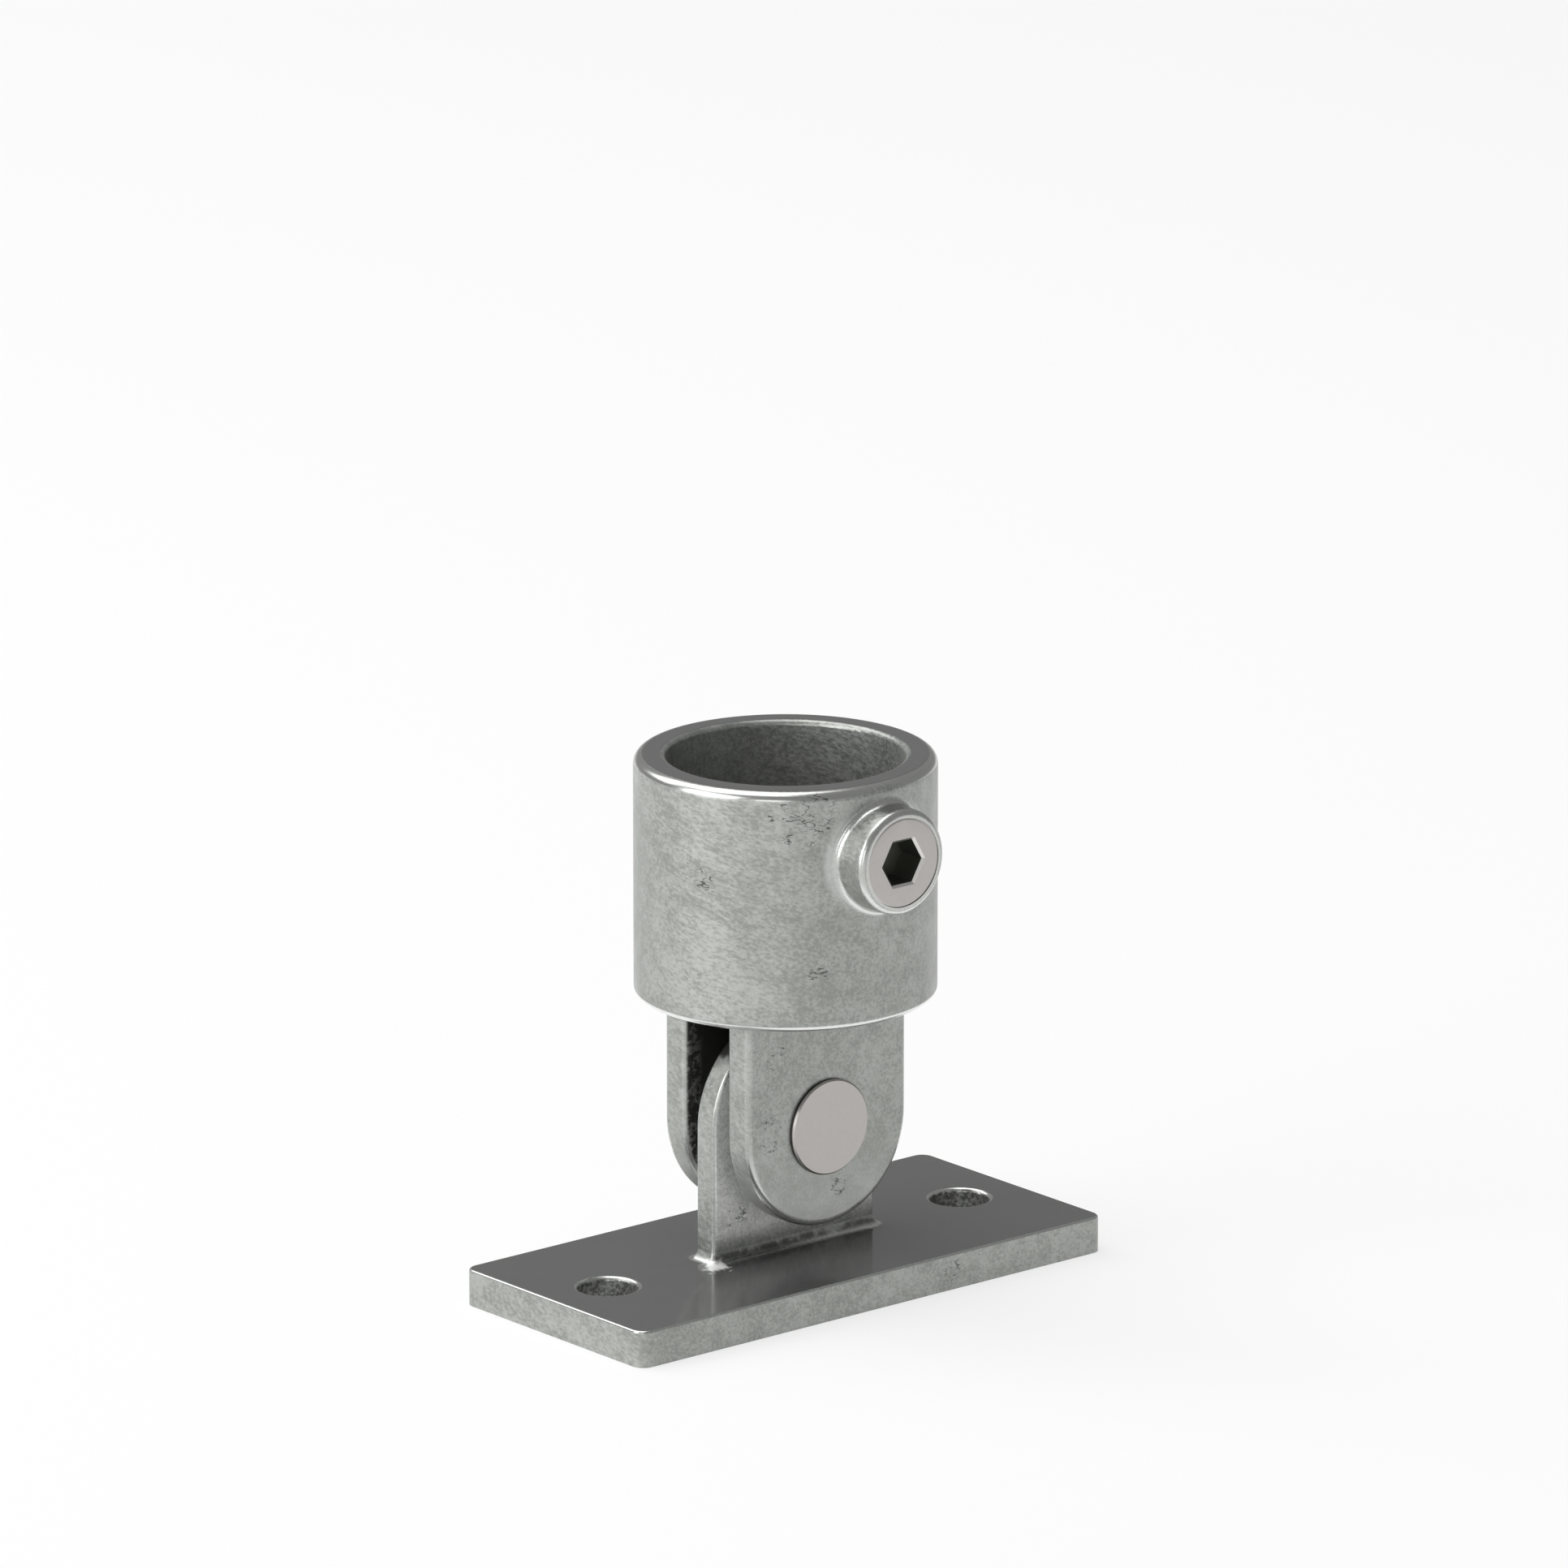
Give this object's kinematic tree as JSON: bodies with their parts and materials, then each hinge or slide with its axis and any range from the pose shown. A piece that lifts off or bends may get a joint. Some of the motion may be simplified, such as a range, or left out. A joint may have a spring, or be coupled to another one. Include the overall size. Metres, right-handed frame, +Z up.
{
  "type": "swivel tube clamp base flange",
  "caption": "Cast swivel base flange for round tube: a bolt-down plate with a tongue, and a tube socket on a pin with a set screw that clamps the tube.",
  "frame": {"origin": "middle of the plate's underside, below the socket's axis when it stands upright", "axes": "+Z up along the upright socket, +X along the plate through both bolt holes, the pin along Y, the set screw facing -Y"},
  "size_m": [0.1106, 0.061, 0.1002],
  "materials": {
    "flange_casting": "hot-dip galvanised, matt grey with fine grain",
    "socket_casting": "hot-dip galvanised, matt grey with fine grain",
    "pin_steel": "zinc plated, satin",
    "screw_steel": "zinc plated, satin"
  },
  "bodies": {
    "base": {"base_flange": "flange_casting"},
    "fork": {"swivel_socket": "socket_casting", "hinge_pin": "pin_steel"},
    "screw": {"clamp_screw": "screw_steel"}
  },
  "joints": [
    {"name": "swivel", "type": "hinge", "parent": "base", "child": "fork", "pos_m": [0, 0, 0.03185], "axis": [0, 1, 0], "range_deg": [-83, 83]},
    {"name": "clamp", "type": "slide", "parent": "fork", "child": "screw", "axis": [0, 1, 0], "range_m": [-0.004, 0.003]}
  ]
}
